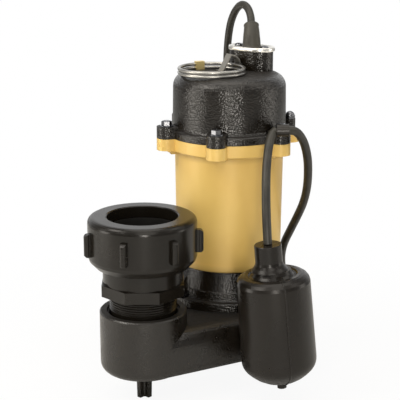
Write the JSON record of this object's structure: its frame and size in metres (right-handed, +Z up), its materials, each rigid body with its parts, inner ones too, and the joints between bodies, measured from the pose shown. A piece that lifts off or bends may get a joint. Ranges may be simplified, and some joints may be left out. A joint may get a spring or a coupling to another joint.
{
  "type": "submersible sump pump",
  "caption": "Submersible sump pump with side discharge, union nut for 2 inch pipe, lifting ring, power cord, and a float switch on a tether.",
  "frame": {"origin": "centre of the discharge pipe's axis on the floor under the pump's feet", "axes": "+Z up along the discharge pipe; +X from the discharge pipe towards the motor shaft; +Y to the back of the pump, where the cords lie coiled"},
  "size_m": [0.3477, 0.3059, 0.3479],
  "materials": {
    "black_plastic": "satin moulded thermoplastic",
    "black_enamel": "cast iron with black textured enamel",
    "gold_enamel": "cast aluminium with gold enamel",
    "black_rubber": "moulded rubber and cord jacket",
    "stainless": "stainless steel",
    "chrome": "polished pressed steel",
    "brass": "brass",
    "copper": "lacquered copper windings",
    "lamination": "stacked electrical steel",
    "aluminium": "cast aluminium",
    "ceramic": "ceramic seal face",
    "grey_plastic": "moulded inner parts",
    "natural_plastic": "uncoloured moulded capsule",
    "iron": "bare cast iron"
  },
  "bodies": {
    "pump": {"volute_housing": "black_plastic", "suction_strainer": "black_plastic", "strainer_screws": "stainless", "volute_gasket": "black_rubber", "seal_housing": "black_enamel", "volute_bolts": "stainless", "motor_housing": "gold_enamel", "lower_gasket": "black_rubber", "cap_gasket": "black_rubber", "motor_cap": "black_enamel", "cap_bolts": "stainless", "acorn_nut": "stainless", "stator_core": "lamination", "stator_windings": "copper", "lower_bearing": "stainless", "upper_bearing": "stainless", "bearing_bracket": "aluminium", "run_capacitor": "grey_plastic", "seal_seat": "ceramic", "cord_plate": "chrome", "plate_gasket": "black_rubber", "plate_screws": "stainless", "strain_relief": "black_rubber", "handle_strap": "stainless", "discharge_adapter": "black_plastic", "pipe_gasket": "black_rubber", "union_nut": "black_plastic", "cable_clamp": "black_plastic", "power_cord": "black_rubber", "power_coil": "black_rubber", "power_coil_tie": "black_plastic", "power_plug": "black_rubber", "power_blades": "brass", "switch_cord": "black_rubber", "switch_coil": "black_rubber", "switch_coil_tie": "black_plastic", "piggyback_plug": "black_rubber", "piggyback_blades": "brass"},
    "rotor": {"motor_shaft": "stainless", "rotor_core": "lamination", "rotor_end_rings": "aluminium", "impeller": "grey_plastic", "impeller_nut": "brass", "seal_head": "stainless"},
    "handle": {"lifting_ring": "stainless", "ring_ferrule": "brass"},
    "float": {"tether_cord": "black_rubber", "float_shell_left": "black_plastic", "float_shell_right": "black_plastic", "float_collar": "black_plastic", "float_weight": "iron", "switch_capsule": "natural_plastic"},
    "float_ball": {"switch_ball": "stainless"}
  },
  "joints": [
    {"name": "rotor_spin", "type": "hinge", "parent": "pump", "child": "rotor", "pos_m": [0.118, 0, 0], "axis": [0, 0, 1], "continuous": true},
    {"name": "handle_fold", "type": "hinge", "parent": "pump", "child": "handle", "pos_m": [0.1306, 0.0067, 0.2903], "axis": [0, 1, 0], "range_deg": [0, 90]},
    {"name": "float_swing", "type": "hinge", "parent": "pump", "child": "float", "pos_m": [0.1035, -0.068, 0.2432], "axis": [-0.6691, 0.7431, 0], "range_deg": [0, 135]},
    {"name": "ball_roll", "type": "slide", "parent": "float", "child": "float_ball", "axis": [-0.056, 0.0622, 0.9965], "range_m": [0, 0.0275]}
  ]
}
